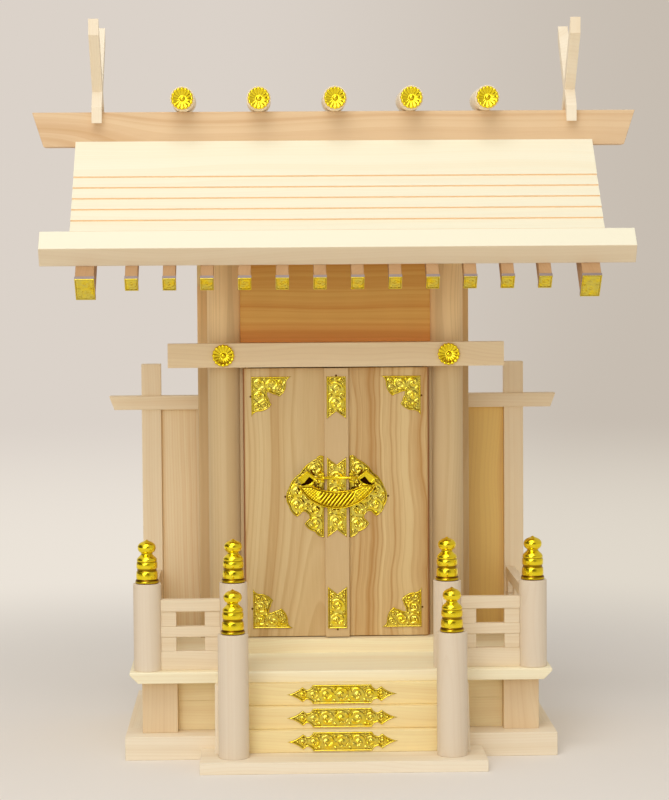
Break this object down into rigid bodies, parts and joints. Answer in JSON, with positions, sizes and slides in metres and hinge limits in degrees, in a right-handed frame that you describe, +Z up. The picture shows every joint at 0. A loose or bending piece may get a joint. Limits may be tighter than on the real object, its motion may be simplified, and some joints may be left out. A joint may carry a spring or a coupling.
{
  "type": "household shrine",
  "caption": "Small household shrine of plain wood with a gabled roof, crossed ridge finials, railings, stairs, gilt fittings, hinged doors and a lift-off lock.",
  "frame": {"origin": "on the shelf, under the middle of the outer box", "axes": "+Z up, -Y towards the viewer in front of the doors, +X to the viewer's right"},
  "size_m": [0.3986, 0.213, 0.4762],
  "materials": {
    "frame_wood": "bare planed cypress",
    "turned_wood": "bare turned cypress",
    "panel_wood": "bare planed cypress boards",
    "door_wood": "bare planed cypress, flat-sawn",
    "gilt_fittings": "polished gilt, embossed"
  },
  "bodies": {
    "shrine": {"barge_rafters_front": "frame_wood", "barge_rafters_rear": "frame_wood", "base_board": "frame_wood", "chigi_arms_front": "frame_wood", "chigi_arms_rear": "frame_wood", "columns": "turned_wood", "door_stops": "frame_wood", "eave_board_front": "frame_wood", "eave_board_rear": "frame_wood", "finials": "gilt_fittings", "front_rails": "frame_wood", "hand_rails": "frame_wood", "head_beam": "frame_wood", "newels": "turned_wood", "platform": "frame_wood", "plinth_boards": "panel_wood", "plinth_posts": "frame_wood", "rafter_caps": "gilt_fittings", "rafters": "frame_wood", "rail_blocks": "frame_wood", "railing_posts": "turned_wood", "rear_posts": "frame_wood", "rear_wall": "panel_wood", "ridge_board": "frame_wood", "ridge_log_caps": "gilt_fittings", "ridge_logs": "turned_wood", "ridge_purlin": "frame_wood", "roof_slab_front": "frame_wood", "roof_slab_rear": "frame_wood", "rosettes": "gilt_fittings", "side_rails": "frame_wood", "side_walls": "panel_wood", "sill_front": "frame_wood", "sill_rear": "frame_wood", "sills_side": "frame_wood", "stair_strings": "frame_wood", "step_1": "frame_wood", "step_2": "frame_wood", "step_3": "frame_wood", "step_plates": "gilt_fittings", "threshold": "frame_wood", "upper_panel": "panel_wood", "wall_plates": "frame_wood", "wing_panels": "panel_wood", "wing_posts": "frame_wood", "wing_rails": "frame_wood"},
    "left_leaf": {"leaf_left": "door_wood", "astragal": "frame_wood", "astragal_strips": "gilt_fittings", "leaf_fittings_left": "gilt_fittings", "lock_fork_left": "gilt_fittings"},
    "right_leaf": {"leaf_right": "door_wood", "leaf_fittings_right": "gilt_fittings", "lock_fork_right": "gilt_fittings"},
    "lock": {"lock_rod": "gilt_fittings", "lock_ends": "gilt_fittings", "lock_body": "gilt_fittings"}
  },
  "joints": [
    {"name": "left_leaf_hinge", "type": "hinge", "parent": "shrine", "child": "left_leaf", "pos_m": [-0.0593, 0.021, 0.157], "axis": [0, 0, -1], "range_deg": [0, 75]},
    {"name": "right_leaf_hinge", "type": "hinge", "parent": "shrine", "child": "right_leaf", "pos_m": [0.0593, 0.021, 0.157], "axis": [0, 0, 1], "range_deg": [0, 75]},
    {"name": "lock_slide", "type": "slide", "parent": "left_leaf", "child": "lock", "axis": [0, -1, 0], "range_m": [0, 0.03]}
  ],
  "couplings": [
    {"joint": "right_leaf_hinge", "follows": "left_leaf_hinge", "ratio": 1}
  ]
}
